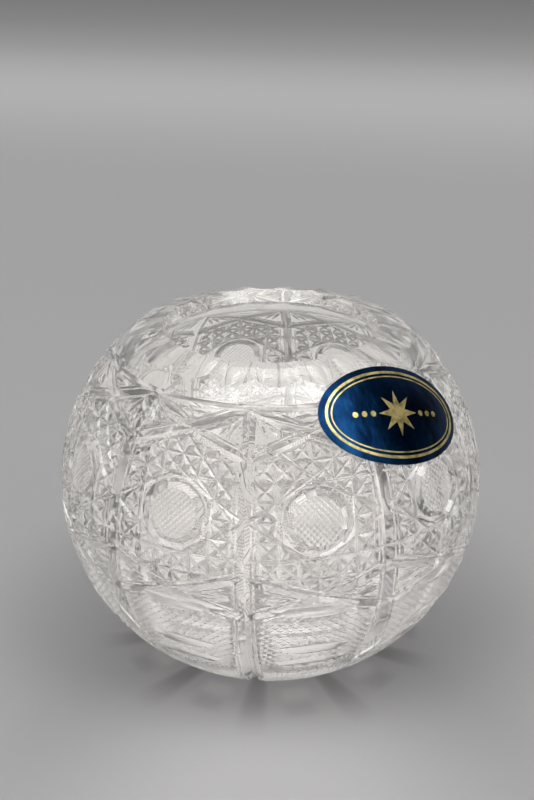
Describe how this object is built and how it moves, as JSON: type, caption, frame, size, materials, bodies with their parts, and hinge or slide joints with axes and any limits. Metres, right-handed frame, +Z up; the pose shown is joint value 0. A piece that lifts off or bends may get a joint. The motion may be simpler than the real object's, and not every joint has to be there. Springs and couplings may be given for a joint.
{
  "type": "cut crystal rose bowl vase",
  "caption": "Round, inward-curving vase of heavy cut glass with a wide mouth, wheel-cut panels and a small oval foil label.",
  "frame": {"origin": "centre of the foot on the surface that the bowl stands on", "axes": "+Z up along the bowl's axis of turning, an upright cut faces -Y, the label lies between -Y and +X"},
  "size_m": [0.12, 0.12, 0.0985],
  "materials": {
    "crystal": "clear lead crystal, wheel cut and polished",
    "adhesive": "clear gum under the label",
    "blue_foil": "dark blue metallic foil on paper",
    "gold_print": "hot-stamped gold"
  },
  "bodies": {
    "root": {"crystal_bowl": "crystal", "label_adhesive": "adhesive", "label_foil": "blue_foil", "label_gold_lines": "gold_print", "label_gold_star": "gold_print"}
  },
  "joints": []
}
